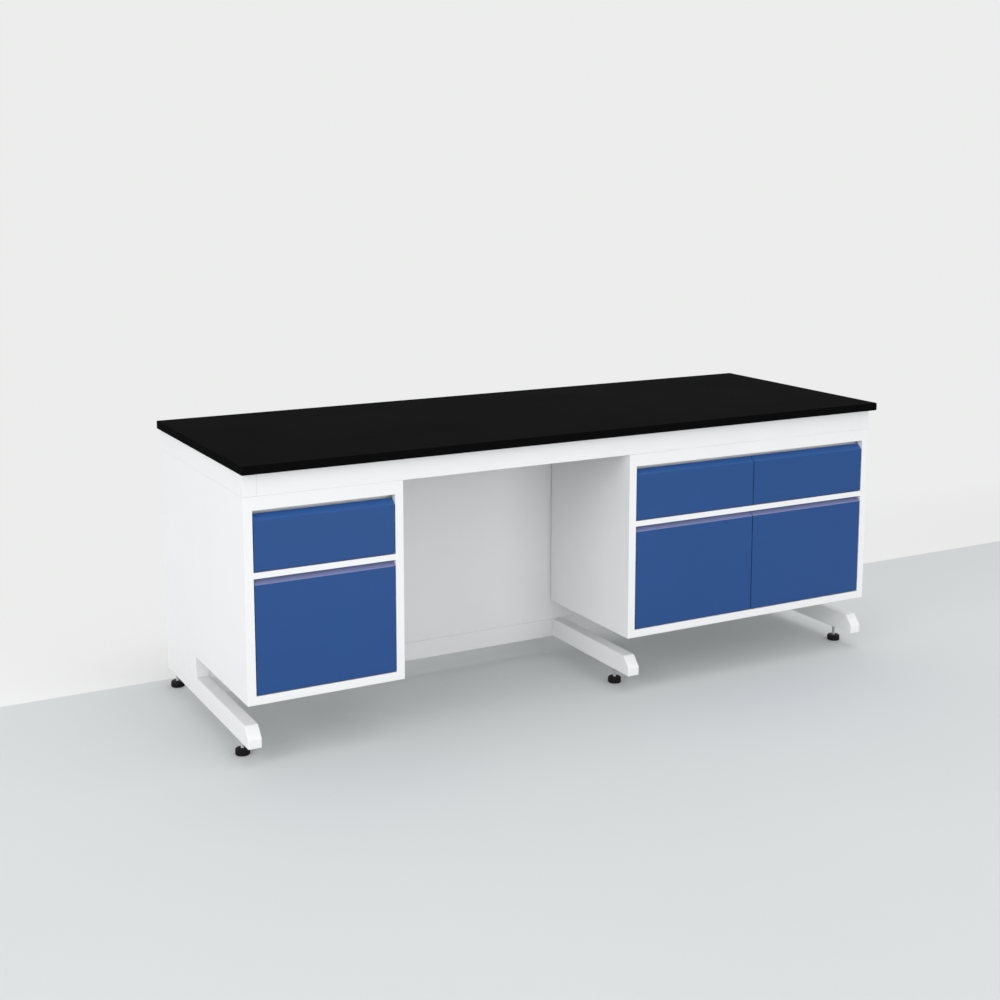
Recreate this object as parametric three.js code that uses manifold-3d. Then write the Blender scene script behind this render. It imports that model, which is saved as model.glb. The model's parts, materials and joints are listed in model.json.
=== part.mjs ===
// Laboratory bench on three C-frames, with two suspended steel cabinets.
// Millimetres, +X to the right, +Y to the back, +Z up.
// The origin is on the floor below the middle of the worktop.

import * as THREE from 'three';
import { mergeVertices } from 'three/addons/utils/BufferGeometryUtils.js';
import Module from 'manifold-3d';

// Worktop
const BENCH_LENGTH = 2200;
const BENCH_DEPTH = 800;
const BENCH_HEIGHT = 850;
const WORKTOP_THICKNESS = 25;
const WORKTOP_EASED_EDGE = 1.5;
const DRIP_GROOVE_WIDTH = 4;
const DRIP_GROOVE_DEPTH = 3;
const DRIP_GROOVE_INSET = 10;

// C-frames and the rails between them
const END_OVERHANG = 10;
const FRONT_OVERHANG = 25;
const TUBE_WIDTH = 40;
const TUBE_WALL = 2;
const TOP_RAIL_HEIGHT = 65;
const FOOT_BEAM_HEIGHT = 60;
const FOOT_BEAM_UNDERSIDE = 53;
const FOOT_BEAM_SETBACK = 6;
const FOOT_CHAMFER_RISE = 32;
const FOOT_CHAMFER_RUN = 28;
const COLUMN_DEPTH = 305;
const COLUMN_WALL = 1.5;
const COLUMN_VENT_RADIUS = 8;
const MIDDLE_FRAME_INSET = 8;
const PANEL_FLANGE = 25;

// Levelling feet
const FRONT_FOOT_FROM_END = 109;
const REAR_FOOT_FROM_END = 35;
const PAD_RADIUS = 21;
const PAD_RIM = 14.5;
const PAD_EDGE = 1.5;
const PAD_HEIGHT = 18;
const PAD_NECK_RADIUS = 14;
const STUD_RADIUS = 5;
const STUD_ABOVE_BEAM_FLOOR = 22;
const STUD_POINT = 1.5;
const BUSH_RADIUS = 9;
const BUSH_LENGTH = 10;

// Sheet-metal cabinets with a face frame folded from the same sheet
const SHEET = 1.2;
const LEFT_CABINET_WIDTH = 470;
const RIGHT_CABINET_WIDTH = 950;
const CABINET_UNDERSIDE = 179;
const FRAME_FACE = 25;
const FRAME_RETURN = 24;
const FRAME_FLANGE = 10;
const TOP_RAIL_FACE = 29;
const TOP_RAIL_RETURN = 36;
const TOP_RAIL_LIP = 31;
const TOP_FLANGE = 25;
const DRAWER_OPENING_HEIGHT = 181;
const DIVIDER_HEIGHT = 17;
const DIVIDER_LOWER_FLANGE = 15;
const DIVIDER_UPPER_FLANGE = 45;
const BACK_FLANGE = 15;
const PARTITION_FLANGE = 9;
const SHELF_ABOVE_FLOOR = 165;
const SHELF_FROM_FRONT = 60;
const SHELF_FLANGE = 20;
const SHELF_TAB_REACH = 14;
const SHELF_TAB_WIDTH = 20;
const SHELF_TAB_FROM_EDGE = 30;

// Folded fronts with a sloping finger pull along the top
const FRONT_THICKNESS = 20;
const FRONT_GAP = 2.5;
const FRONT_FLANGE = 15;
const DRAWER_GRIP = 39;
const DRAWER_PULL_RISE = 17;
const DOOR_GRIP = 18;
const DOOR_PULL_RISE = 13;
const PULL_HEM = 5;
const DOOR_FINGER_SLOT = 22;

// Drawer boxes on two-member runners
const BOX_HEIGHT = 115;
const BOX_ABOVE_DIVIDER = 11;
const BOX_REAR_SPACE = 25;
const BOX_HEM = 6;
const RUNNER_HEIGHT = 35;
const RUNNER_ABOVE_BOX_FLOOR = 20;
const RUNNER_THICKNESS = 12.5;
const RUNNER_CHANNEL = 10;
const RUNNER_LIP = 6;
const RUNNER_TAB = 10;
const RUNNER_BRIM_DEPTH = 3;
const RUNNER_REAR_SPACE = 30;

// Hidden gooseneck hinges
const HINGE_HEIGHT = 50;
const HINGE_FROM_DOOR_END = 45;
const HINGE_FROM_EDGE = 6.5;
const HINGE_FROM_FACE = 5;
const HINGE_PIN_RADIUS = 2;
const HINGE_PIN_OVERRUN = 6;
const HINGE_SLEEVE_RADIUS = 3.5;
const HINGE_PLATE = 3;
const HINGE_REACH = 31;
const HINGE_FOOT = 40;
const HINGE_POCKET = 5;

// Clearances, and how far a cut runs past the surface that it opens
const SEAT_GAP = 0.3;
const HINGE_POCKET_GAP = 1.5;
const SHELF_SIDE_GAP = 0.5;
const CUT_OVERRUN = 1;
const ROUND_SEGMENTS = 20;

// Levels and planes that the pieces share
const worktopUnderside = BENCH_HEIGHT - WORKTOP_THICKNESS;
const railUnderside = worktopUnderside - TOP_RAIL_HEIGHT;
const footBeamTop = FOOT_BEAM_UNDERSIDE + FOOT_BEAM_HEIGHT;
const frameHalfLength = BENCH_LENGTH / 2 - END_OVERHANG;
const frontPlane = -BENCH_DEPTH / 2 + FRONT_OVERHANG;
const rearPlane = BENCH_DEPTH / 2;
const columnFront = rearPlane - COLUMN_DEPTH;
const cabinetDepth = columnFront - frontPlane - SEAT_GAP;
const rightCabinetLeft = frameHalfLength - RIGHT_CABINET_WIDTH;
const frameLefts = {
  left: -frameHalfLength,
  middle: rightCabinetLeft + MIDDLE_FRAME_INSET,
  right: frameHalfLength - TUBE_WIDTH,
};

// Finishes
function finish(color, roughness, metalness) {
  return new THREE.MeshStandardMaterial({ color, roughness, metalness });
}
const blackResin = finish(0x191a1b, 0.6, 0);
const whitePaint = finish(0xf3f4f6, 0.45, 0);
const bluePaint = finish(0x2f548f, 0.4, 0);
const blackNylon = finish(0x161616, 0.7, 0);
const zincSteel = finish(0xb9bdc2, 0.35, 0.9);

// Solids from profiles
const wasm = await Module();
wasm.setup();

function solidFrom(geometry) {
  geometry.deleteAttribute('normal');
  geometry.deleteAttribute('uv');
  const merged = mergeVertices(geometry, 1e-4);
  const vertProperties = new Float32Array(merged.attributes.position.array);
  const triVerts = new Uint32Array(merged.index.array);
  return new wasm.Manifold(new wasm.Mesh({ numProp: 3, vertProperties, triVerts }));
}

// A profile is drawn in the two axes across its run: (y, z) along x, (x, z) along y, (x, y) along z.
const axisX = new THREE.Vector3(1, 0, 0);
const axisY = new THREE.Vector3(0, 1, 0);
const axisZ = new THREE.Vector3(0, 0, 1);
const runBasis = {
  x: new THREE.Matrix4().makeBasis(axisY, axisZ, axisX),
  y: new THREE.Matrix4().makeBasis(axisX, axisZ, axisY.clone().negate()),
  z: new THREE.Matrix4().makeBasis(axisX, axisY, axisZ),
};

function run(axis, outline, from, to, hole) {
  const points = (list) => list.map(([u, v]) => new THREE.Vector2(u, v));
  const shape = new THREE.Shape(points(outline));
  if (hole) shape.holes.push(new THREE.Path(points(hole)));
  const geometry = new THREE.ExtrudeGeometry(shape, { depth: to - from, bevelEnabled: false });
  geometry.applyMatrix4(runBasis[axis]);
  const start = { x: [from, 0, 0], y: [0, to, 0], z: [0, 0, from] }[axis];
  geometry.translate(...start);
  return solidFrom(geometry);
}

function rectangle(u0, u1, v0, v1) {
  return [[u0, v0], [u1, v0], [u1, v1], [u0, v1]];
}

function block(x0, x1, y0, y1, z0, z1) {
  return run('z', rectangle(x0, x1, y0, y1), z0, z1);
}

function upright(radius, x, y, z0, z1) {
  const geometry = new THREE.CylinderGeometry(radius, radius, z1 - z0, ROUND_SEGMENTS);
  geometry.rotateX(Math.PI / 2);
  geometry.translate(x, y, (z0 + z1) / 2);
  return solidFrom(geometry);
}

// Moves each corner of a line to its left by a distance, with mitred corners.
function offset(path, distance, closed) {
  const unit = (a, b) => new THREE.Vector2(b[0] - a[0], b[1] - a[1]).normalize();
  const left = (d) => new THREE.Vector2(-d.y, d.x);
  return path.map((point, i) => {
    const before = closed ? path.at(i - 1) : path[i - 1];
    const after = closed ? path[(i + 1) % path.length] : path[i + 1];
    const normals = [];
    if (before) normals.push(left(unit(before, point)));
    if (after) normals.push(left(unit(point, after)));
    const [first, second] = [normals[0], normals.at(-1)];
    const mitre = first.clone().add(second).multiplyScalar(distance / (1 + first.dot(second)));
    return [point[0] + mitre.x, point[1] + mitre.y];
  });
}

// The outline of a sheet that is bent along a path, with its thickness on the left of the path.
function bent(path, thickness) {
  return [...path, ...offset(path, thickness, false).reverse()];
}

function mirrored(path, middle) {
  return path.map(([u, v]) => [2 * middle - u, v]);
}

// Pieces go into the scene as named meshes
const bench = new THREE.Group();

function place(group, name, solid, material) {
  const { vertProperties, triVerts } = solid.getMesh();
  const geometry = new THREE.BufferGeometry();
  geometry.setAttribute('position', new THREE.BufferAttribute(vertProperties, 3));
  geometry.setIndex(new THREE.BufferAttribute(triVerts, 1));
  geometry.computeVertexNormals();
  const mesh = new THREE.Mesh(geometry, material);
  mesh.name = name;
  group.add(mesh);
}

// Worktop slab with eased edges and a drip groove under its front edge
function worktop() {
  const halfLength = BENCH_LENGTH / 2 - WORKTOP_EASED_EDGE;
  const halfDepth = BENCH_DEPTH / 2 - WORKTOP_EASED_EDGE;
  const corners = rectangle(-halfLength, halfLength, -halfDepth, halfDepth);
  const shape = new THREE.Shape(corners.map(([x, y]) => new THREE.Vector2(x, y)));
  const geometry = new THREE.ExtrudeGeometry(shape, {
    depth: WORKTOP_THICKNESS - 2 * WORKTOP_EASED_EDGE,
    bevelSize: WORKTOP_EASED_EDGE,
    bevelThickness: WORKTOP_EASED_EDGE,
    bevelSegments: 1,
  });
  geometry.translate(0, 0, worktopUnderside + WORKTOP_EASED_EDGE);
  const grooveFront = -BENCH_DEPTH / 2 + DRIP_GROOVE_INSET;
  const groove = block(
    -frameHalfLength, frameHalfLength,
    grooveFront, grooveFront + DRIP_GROOVE_WIDTH,
    worktopUnderside - DRIP_GROOVE_DEPTH, worktopUnderside + DRIP_GROOVE_DEPTH,
  );
  return solidFrom(geometry).subtract(groove);
}

// One C-frame, built with its left face at x = 0: foot beam, column and top arm
const footBeamFront = frontPlane + FOOT_BEAM_SETBACK;
const footPlaces = {
  front: footBeamFront + FRONT_FOOT_FROM_END,
  rear: rearPlane - REAR_FOOT_FROM_END,
};

function footBeam() {
  const outline = [
    [footBeamFront, FOOT_BEAM_UNDERSIDE],
    [rearPlane, FOOT_BEAM_UNDERSIDE],
    [rearPlane, footBeamTop],
    [footBeamFront + FOOT_CHAMFER_RUN, footBeamTop],
    [footBeamFront, footBeamTop - FOOT_CHAMFER_RISE],
  ];
  const cavity = run('x', offset(outline, TUBE_WALL, true), TUBE_WALL, TUBE_WIDTH - TUBE_WALL);
  let beam = run('x', outline, 0, TUBE_WIDTH).subtract(cavity);
  for (const y of Object.values(footPlaces)) {
    const bushTop = FOOT_BEAM_UNDERSIDE + TUBE_WALL + BUSH_LENGTH;
    beam = beam.add(upright(BUSH_RADIUS, TUBE_WIDTH / 2, y, FOOT_BEAM_UNDERSIDE, bushTop));
    const [boreLow, boreHigh] = [FOOT_BEAM_UNDERSIDE - CUT_OVERRUN, bushTop + CUT_OVERRUN];
    beam = beam.subtract(upright(STUD_RADIUS + SEAT_GAP, TUBE_WIDTH / 2, y, boreLow, boreHigh));
  }
  return beam;
}

function column() {
  const outline = rectangle(0, TUBE_WIDTH, columnFront, rearPlane);
  return run('z', outline, footBeamTop, railUnderside, offset(outline, COLUMN_WALL, true));
}

// An end arm has closed ends and a hole down into the column; the middle arm is an open tube.
function topArm(from, to, closedEnds) {
  const outline = rectangle(0, TUBE_WIDTH, railUnderside, worktopUnderside);
  const inside = offset(outline, TUBE_WALL, true);
  if (!closedEnds) return run('y', outline, from, to, inside);
  const cavity = run('y', inside, from + TUBE_WALL, to - TUBE_WALL);
  const ventY = (columnFront + rearPlane) / 2;
  const ventTop = railUnderside + 2 * TUBE_WALL;
  const vent = upright(COLUMN_VENT_RADIUS, TUBE_WIDTH / 2, ventY, railUnderside - TUBE_WALL, ventTop);
  return run('y', outline, from, to).subtract(cavity).subtract(vent);
}

// A levelling foot stands at the origin: a moulded pad with a steel stud set in it
function levellingFoot() {
  const studTop = FOOT_BEAM_UNDERSIDE + TUBE_WALL + STUD_ABOVE_BEAM_FLOOR;
  const profile = [
    [0, 0],
    [PAD_RADIUS - PAD_EDGE, 0],
    [PAD_RADIUS, PAD_EDGE],
    [PAD_RADIUS, PAD_RIM],
    [PAD_NECK_RADIUS, PAD_HEIGHT],
    [STUD_RADIUS, PAD_HEIGHT],
    [STUD_RADIUS, studTop - STUD_POINT],
    [STUD_RADIUS - STUD_POINT, studTop],
    [0, studTop],
  ];
  const points = profile.map(([r, z]) => new THREE.Vector2(r, z));
  const geometry = new THREE.LatheGeometry(points, ROUND_SEGMENTS);
  geometry.rotateX(Math.PI / 2);
  return solidFrom(geometry);
}

function cFrame(name, left) {
  const frame = new THREE.Group();
  frame.position.x = left;
  const isMiddle = name === 'middle';
  const armFrom = isMiddle ? frontPlane + TUBE_WIDTH : frontPlane;
  const armTo = isMiddle ? rearPlane - TUBE_WIDTH : rearPlane;
  place(frame, `${name}_foot_beam`, footBeam(), whitePaint);
  place(frame, `${name}_column`, column(), whitePaint);
  place(frame, `${name}_top_arm`, topArm(armFrom, armTo, !isMiddle), whitePaint);
  for (const [end, y] of Object.entries(footPlaces)) {
    const foot = new THREE.Group();
    foot.position.set(TUBE_WIDTH / 2, y, 0);
    place(foot, `${name}_${end}_levelling_foot`, levellingFoot(), blackNylon);
    frame.add(foot);
  }
  return frame;
}

// Rails and panels that join the C-frames
function longRail(front, low, high, from, to) {
  const outline = rectangle(front, front + TUBE_WIDTH, low, high);
  return run('x', outline, from, to, offset(outline, TUBE_WALL, true));
}

function backPanel(from, to) {
  const flangeEnd = columnFront + PANEL_FLANGE;
  const path = [[to, flangeEnd], [to, columnFront], [from, columnFront], [from, flangeEnd]];
  const skin = run('z', bent(path, -SHEET), footBeamTop, worktopUnderside);
  const topFlange = block(from, to, columnFront, flangeEnd, worktopUnderside - SHEET, worktopUnderside);
  const lowFlange = block(from, to, columnFront, flangeEnd, footBeamTop, footBeamTop + SHEET);
  return skin.add(topFlange).add(lowFlange);
}

function framework() {
  const group = new THREE.Group();
  for (const [name, left] of Object.entries(frameLefts)) group.add(cFrame(name, left));
  const inner = frameHalfLength - TUBE_WIDTH;
  const apron = longRail(frontPlane, railUnderside, worktopUnderside, -inner, inner);
  const rearRail = longRail(rearPlane - TUBE_WIDTH, railUnderside, worktopUnderside, -inner, inner);
  place(group, 'front_apron', apron, whitePaint);
  place(group, 'rear_top_rail', rearRail, whitePaint);
  const bays = {
    left: [frameLefts.left + TUBE_WIDTH, frameLefts.middle],
    right: [frameLefts.middle + TUBE_WIDTH, frameLefts.right],
  };
  for (const [name, [from, to]] of Object.entries(bays)) {
    const stretcher = longRail(columnFront, FOOT_BEAM_UNDERSIDE, footBeamTop, from, to);
    place(group, `${name}_lower_stretcher`, stretcher, whitePaint);
    place(group, `${name}_back_panel`, backPanel(from, to), whitePaint);
  }
  return group;
}

// Cabinets are built with their left side at x = 0 and their face frame's front at y = 0.
const cabinetTop = railUnderside;
const drawerOpeningTop = cabinetTop - TOP_RAIL_FACE;
const dividerTop = drawerOpeningTop - DRAWER_OPENING_HEIGHT;
const dividerUnderside = dividerTop - DIVIDER_HEIGHT;
const doorOpeningFloor = CABINET_UNDERSIDE + FRAME_FACE;
const shelfTop = CABINET_UNDERSIDE + SHELF_ABOVE_FLOOR;
const backFace = cabinetDepth - SHEET;
const shelfRear = backFace - BACK_FLANGE - SEAT_GAP;

// Two sides and a floor, each folded at the front into the face frame, with tabs for the shelf
function cabinetShell(width) {
  const sidePath = [
    [0, cabinetDepth],
    [0, 0],
    [FRAME_FACE, 0],
    [FRAME_FACE, FRAME_RETURN],
    [FRAME_FACE - FRAME_FLANGE, FRAME_RETURN],
  ];
  const leftSide = run('z', bent(sidePath, SHEET), CABINET_UNDERSIDE, cabinetTop);
  const rightSide = run('z', mirrored(bent(sidePath, SHEET), width / 2), CABINET_UNDERSIDE, cabinetTop);
  const floorPath = [
    [cabinetDepth, CABINET_UNDERSIDE],
    [0, CABINET_UNDERSIDE],
    [0, doorOpeningFloor],
    [FRAME_RETURN, doorOpeningFloor],
    [FRAME_RETURN, doorOpeningFloor - FRAME_FLANGE],
  ];
  const [inLeft, inRight] = [SHEET / 2, width - SHEET / 2];
  const floor = run('x', bent(floorPath, -SHEET), inLeft, inRight);
  let shell = leftSide.add(rightSide).add(floor);
  const shelfUnderside = shelfTop - SHEET;
  const tabFronts = [
    SHELF_FROM_FRONT + SHELF_TAB_FROM_EDGE,
    shelfRear - SHELF_TAB_FROM_EDGE - SHELF_TAB_WIDTH,
  ];
  const flangeFront = FRAME_RETURN - SHEET / 2;
  for (const [from, to] of [[inLeft, TOP_FLANGE], [width - TOP_FLANGE, inRight]]) {
    shell = shell.add(block(from, to, flangeFront, cabinetDepth, cabinetTop - SHEET, cabinetTop));
  }
  const tabReach = SHEET + SHELF_TAB_REACH;
  for (const [from, to] of [[inLeft, tabReach], [width - tabReach, inRight]]) {
    for (const y of tabFronts) {
      shell = shell.add(block(from, to, y, y + SHELF_TAB_WIDTH, shelfUnderside - SHEET, shelfUnderside));
    }
  }
  return shell;
}

// Face-frame rails between the stiles
function cabinetTopRail(width) {
  const path = [
    [TOP_FLANGE, cabinetTop],
    [0, cabinetTop],
    [0, drawerOpeningTop],
    [TOP_RAIL_RETURN, drawerOpeningTop],
    [TOP_RAIL_RETURN, drawerOpeningTop - TOP_RAIL_LIP],
  ];
  return run('x', bent(path, SHEET), FRAME_FACE, width - FRAME_FACE);
}

function dividerRail(width) {
  const path = [
    [DIVIDER_LOWER_FLANGE, dividerUnderside],
    [0, dividerUnderside],
    [0, dividerTop],
    [DIVIDER_UPPER_FLANGE, dividerTop],
  ];
  return run('x', bent(path, -SHEET), FRAME_FACE, width - FRAME_FACE);
}

function cabinetBack(width) {
  const [left, right] = [SHEET + SEAT_GAP, width - SHEET - SEAT_GAP];
  const flangeFront = backFace - BACK_FLANGE;
  const path = [[left, flangeFront], [left, cabinetDepth], [right, cabinetDepth], [right, flangeFront]];
  return run('z', bent(path, -SHEET), CABINET_UNDERSIDE + SHEET, cabinetTop - SHEET - SEAT_GAP);
}

function shelf(width) {
  const [left, right] = [SHEET + SHELF_SIDE_GAP, width - SHEET - SHELF_SIDE_GAP];
  const path = [
    [SHELF_FROM_FRONT, shelfTop - SHELF_FLANGE],
    [SHELF_FROM_FRONT, shelfTop],
    [shelfRear, shelfTop],
    [shelfRear, shelfTop - SHELF_FLANGE],
  ];
  return run('x', bent(path, -SHEET), left, right);
}

// An upright sheet between two drawers, from the divider's flange to the top rail's lip and the back
function drawerPartition(middle) {
  const front = TOP_RAIL_RETURN + SHEET;
  const [left, right] = [middle - SHEET / 2, middle + SHEET / 2];
  const flangeFront = backFace - SHEET;
  const path = [[left, front], [left, flangeFront], [left - PARTITION_FLANGE, flangeFront]];
  const lipEnd = drawerOpeningTop - TOP_RAIL_LIP;
  const web = run('z', bent(path, -SHEET), dividerTop, lipEnd);
  const upper = block(left, right, front, backFace, lipEnd - SHEET, cabinetTop - SHEET);
  return web.add(upper);
}

// A folded front: flat face, sloping pull along the top, hemmed edge and flanges turned in at the back.
// The back is open from openLow up to the hem.
function frontPan(left, right, low, faceTop, pullRise, openLow) {
  const tip = faceTop + pullRise;
  const outline = [[0, low], [FRONT_THICKNESS, low], [FRONT_THICKNESS, tip], [0, faceTop]];
  const cavity = run('x', offset(outline, SHEET, true), left + SHEET, right - SHEET);
  const opening = block(
    left + FRONT_FLANGE, right - FRONT_FLANGE,
    FRONT_THICKNESS - 2 * SHEET, FRONT_THICKNESS + SHEET,
    openLow, tip - PULL_HEM,
  );
  return run('x', outline, left, right).subtract(cavity).subtract(opening);
}

// Drawer
const drawerFrontLow = dividerTop + FRONT_GAP;
const drawerFaceTop = drawerOpeningTop - DRAWER_GRIP;
const boxFloor = dividerTop + BOX_ABOVE_DIVIDER;
const runnerLow = boxFloor + RUNNER_ABOVE_BOX_FLOOR;
const runnerHigh = runnerLow + RUNNER_HEIGHT;
const runnerMiddle = (runnerLow + runnerHigh) / 2;

function drawerBox(left, right) {
  const [front, rear] = [FRONT_THICKNESS, backFace - BOX_REAR_SPACE];
  const top = boxFloor + BOX_HEIGHT;
  const inside = (wall, low, high) => block(left + wall, right - wall, front + wall, rear - wall, low, high);
  const lower = inside(SHEET, boxFloor + SHEET, top - BOX_HEM);
  const upper = inside(2 * SHEET, boxFloor + SHEET, top + SHEET);
  return block(left, right, front, rear, boxFloor, top).subtract(lower).subtract(upper);
}

// The cabinet member is a lipped channel that opens towards the drawer, with tabs at the ends
// where it bridges from the face frame to the back. Its mounting face is at x = 0, facing left.
function cabinetRunner(bridges) {
  const path = [
    [RUNNER_CHANNEL, runnerLow + RUNNER_LIP],
    [RUNNER_CHANNEL, runnerLow],
    [0, runnerLow],
    [0, runnerHigh],
    [RUNNER_CHANNEL, runnerHigh],
    [RUNNER_CHANNEL, runnerHigh - RUNNER_LIP],
  ];
  const front = bridges ? FRAME_RETURN : TOP_RAIL_RETURN + SHEET;
  const rear = bridges ? backFace : backFace - SHEET;
  const channel = run('y', bent(path, -SHEET), front, rear);
  if (!bridges) return channel;
  const frontTab = block(-RUNNER_TAB, SHEET, front, front + SHEET, runnerLow, runnerHigh);
  const rearTab = block(-RUNNER_TAB, SHEET, backFace - SHEET, backFace, runnerLow, runnerHigh);
  return channel.add(frontTab).add(rearTab);
}

// The drawer member is a hat section: its brim rides inside the channel, its crown is on the drawer box.
function drawerRunner() {
  const brim = RUNNER_HEIGHT / 2 - SHEET - SEAT_GAP;
  const neck = RUNNER_HEIGHT / 2 - RUNNER_LIP - SEAT_GAP;
  const path = [
    [RUNNER_BRIM_DEPTH, runnerMiddle - brim],
    [RUNNER_BRIM_DEPTH, runnerMiddle - neck],
    [RUNNER_THICKNESS, runnerMiddle - neck],
    [RUNNER_THICKNESS, runnerMiddle + neck],
    [RUNNER_BRIM_DEPTH, runnerMiddle + neck],
    [RUNNER_BRIM_DEPTH, runnerMiddle + brim],
  ];
  return run('y', bent(path, SHEET), TOP_RAIL_RETURN + SHEET, backFace - RUNNER_REAR_SPACE);
}

// leftEdge and rightEdge are the front's edges; each mount is where a runner is fixed and how it is carried.
function drawer(name, leftEdge, rightEdge, leftMount, rightMount) {
  const group = new THREE.Group();
  const openLow = drawerFrontLow + FRONT_FLANGE;
  const front = frontPan(leftEdge, rightEdge, drawerFrontLow, drawerFaceTop, DRAWER_PULL_RISE, openLow);
  place(group, `${name}_drawer_front`, front, bluePaint);
  const box = drawerBox(leftMount.x + RUNNER_THICKNESS, rightMount.x - RUNNER_THICKNESS);
  place(group, `${name}_drawer_box`, box, whitePaint);
  for (const [side, mount, turn] of [['left', leftMount, 1], ['right', rightMount, -1]]) {
    const toSide = (solid) => solid.scale([turn, 1, 1]).translate([mount.x, 0, 0]);
    place(group, `${name}_drawer_${side}_cabinet_runner`, toSide(cabinetRunner(mount.bridges)), zincSteel);
    place(group, `${name}_drawer_${side}_box_runner`, toSide(drawerRunner()), zincSteel);
  }
  return group;
}

// Door
const doorLow = doorOpeningFloor + FRONT_GAP;
const doorFaceTop = dividerUnderside - DOOR_GRIP;
const hingeMiddles = {
  lower: doorLow + HINGE_FROM_DOOR_END + HINGE_HEIGHT / 2,
  upper: doorFaceTop - HINGE_FROM_DOOR_END - HINGE_HEIGHT / 2,
};

// Pocket in the door's hinge edge, open to the edge and to the back, with bores for the pin.
// The pin's axis is at x = 0.
function hingePocket(middle) {
  const halfHeight = HINGE_HEIGHT / 2 + HINGE_POCKET_GAP;
  const walls = block(
    -HINGE_FROM_EDGE, HINGE_POCKET + SHEET,
    SHEET, FRONT_THICKNESS,
    middle - halfHeight - SHEET, middle + halfHeight + SHEET,
  );
  const space = block(
    -HINGE_FROM_EDGE - SHEET, HINGE_POCKET,
    SHEET, FRONT_THICKNESS + SHEET,
    middle - halfHeight, middle + halfHeight,
  );
  const reach = halfHeight + 2 * SHEET;
  const bore = upright(HINGE_PIN_RADIUS + SEAT_GAP, 0, HINGE_FROM_FACE, middle - reach, middle + reach);
  return { walls, space: space.add(bore) };
}

// Gooseneck arm from the cabinet's side round the stile to the pin in the door's edge.
function hinge(middle) {
  const [low, high] = [middle - HINGE_HEIGHT / 2, middle + HINGE_HEIGHT / 2];
  const wall = -(HINGE_FROM_EDGE + FRONT_GAP + FRAME_FACE - SHEET);
  const turn = HINGE_FROM_FACE + HINGE_REACH;
  const path = [
    [-HINGE_PLATE / 2, HINGE_FROM_FACE],
    [-HINGE_PLATE / 2, turn - HINGE_PLATE],
    [wall, turn - HINGE_PLATE],
    [wall, turn - HINGE_PLATE + HINGE_FOOT],
  ];
  const arm = run('z', bent(path, -HINGE_PLATE), low, high);
  const sleeve = upright(HINGE_SLEEVE_RADIUS, 0, HINGE_FROM_FACE, low, high);
  const [pinLow, pinHigh] = [low - HINGE_PIN_OVERRUN, high + HINGE_PIN_OVERRUN];
  const pin = upright(HINGE_PIN_RADIUS, 0, HINGE_FROM_FACE, pinLow, pinHigh);
  return arm.add(sleeve).add(pin);
}

function door(name, leftEdge, rightEdge, hingeSide) {
  const group = new THREE.Group();
  const openLow = doorFaceTop + DOOR_PULL_RISE - PULL_HEM - DOOR_FINGER_SLOT;
  let pan = frontPan(leftEdge, rightEdge, doorLow, doorFaceTop, DOOR_PULL_RISE, openLow);
  const turn = hingeSide === 'left' ? 1 : -1;
  const pinX = hingeSide === 'left' ? leftEdge + HINGE_FROM_EDGE : rightEdge - HINGE_FROM_EDGE;
  const toPin = (solid) => solid.scale([turn, 1, 1]).translate([pinX, 0, 0]);
  for (const [level, middle] of Object.entries(hingeMiddles)) {
    const { walls, space } = hingePocket(middle);
    pan = pan.add(toPin(walls)).subtract(toPin(space));
    place(group, `${name}_door_${level}_hinge`, toPin(hinge(middle)), zincSteel);
  }
  place(group, `${name}_door`, pan, bluePaint);
  return group;
}

// A cabinet has one drawer over one door, or two of each side by side.
function cabinet(name, left, width, fronts) {
  const group = new THREE.Group();
  group.position.set(left, frontPlane, 0);
  place(group, `${name}_cabinet_shell`, cabinetShell(width), whitePaint);
  place(group, `${name}_cabinet_top_rail`, cabinetTopRail(width), whitePaint);
  place(group, `${name}_cabinet_divider_rail`, dividerRail(width), whitePaint);
  place(group, `${name}_cabinet_back`, cabinetBack(width), whitePaint);
  place(group, `${name}_cabinet_shelf`, shelf(width), whitePaint);
  const [opening, openingEnd] = [FRAME_FACE, width - FRAME_FACE];
  const middle = width / 2;
  const isPair = fronts.length === 2;
  if (isPair) place(group, `${name}_cabinet_drawer_partition`, drawerPartition(middle), whitePaint);
  fronts.forEach(({ front, hingeSide }, i) => {
    const from = i === 0 ? opening + FRONT_GAP : middle + FRONT_GAP / 2;
    const to = i === fronts.length - 1 ? openingEnd - FRONT_GAP : middle - FRONT_GAP / 2;
    const leftMount = i === 0 ? { x: opening, bridges: true } : { x: middle + SHEET / 2, bridges: false };
    const rightMount = i === fronts.length - 1
      ? { x: openingEnd, bridges: true }
      : { x: middle - SHEET / 2, bridges: false };
    group.add(drawer(front, from, to, leftMount, rightMount));
    group.add(door(front, from, to, hingeSide));
  });
  return group;
}

place(bench, 'worktop', worktop(), blackResin);
bench.add(framework());
bench.add(cabinet('left', -frameHalfLength, LEFT_CABINET_WIDTH, [{ front: 'left', hingeSide: 'left' }]));
bench.add(cabinet('right', rightCabinetLeft, RIGHT_CABINET_WIDTH, [
  { front: 'centre', hingeSide: 'left' },
  { front: 'right', hingeSide: 'right' },
]));

export default bench;
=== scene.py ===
# %% [markdown]
# # A laboratory bench on C-frames
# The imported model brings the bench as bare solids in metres: frames, cabinets, drawers, doors and feet,
# each on the body that moves it. This lesson keeps those solids where their shape is right, replaces
# the ones that need rounded folds or threads, adds the small hardware, and gives everything its finish.

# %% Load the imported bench
import json
from math import pi, radians, tau

import bmesh
import bpy
from mathutils import Matrix, Vector


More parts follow.
